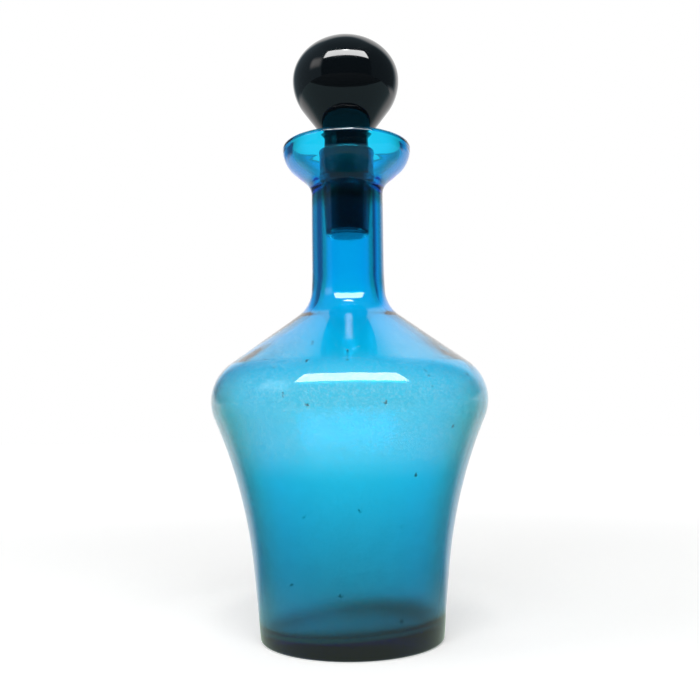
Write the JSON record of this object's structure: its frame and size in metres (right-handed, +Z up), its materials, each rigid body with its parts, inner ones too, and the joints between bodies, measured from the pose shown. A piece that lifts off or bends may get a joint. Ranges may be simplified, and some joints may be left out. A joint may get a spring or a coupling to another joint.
{
  "type": "stoppered carafe",
  "caption": "Round carafe of blown blue glass with a flared body, straight neck and bowl mouth, closed by a dark glass ball stopper on a plastic plug.",
  "frame": {"origin": "middle of the foot, on the surface that the bottle stands on", "axes": "+Z up along the axis that every piece is turned about; +X and +Y are any two square directions"},
  "size_m": [0.1284, 0.1284, 0.2824],
  "materials": {
    "blue_glass": "fire polished, clear",
    "dark_glass": "polished, near black",
    "smoke_plastic": "moulded, satin"
  },
  "bodies": {
    "bottle": {"bottle": "blue_glass"},
    "plug": {"stopper_sleeve": "smoke_plastic"},
    "ball": {"stopper_ball": "dark_glass"}
  },
  "joints": [
    {"name": "stopper_lift", "type": "slide", "parent": "bottle", "child": "plug", "axis": [0, 0, 1], "range_m": [0, 0.06]},
    {"name": "stopper_turn", "type": "hinge", "parent": "plug", "child": "ball", "pos_m": [0, 0, 0.2], "axis": [0, 0, 1], "continuous": true}
  ]
}
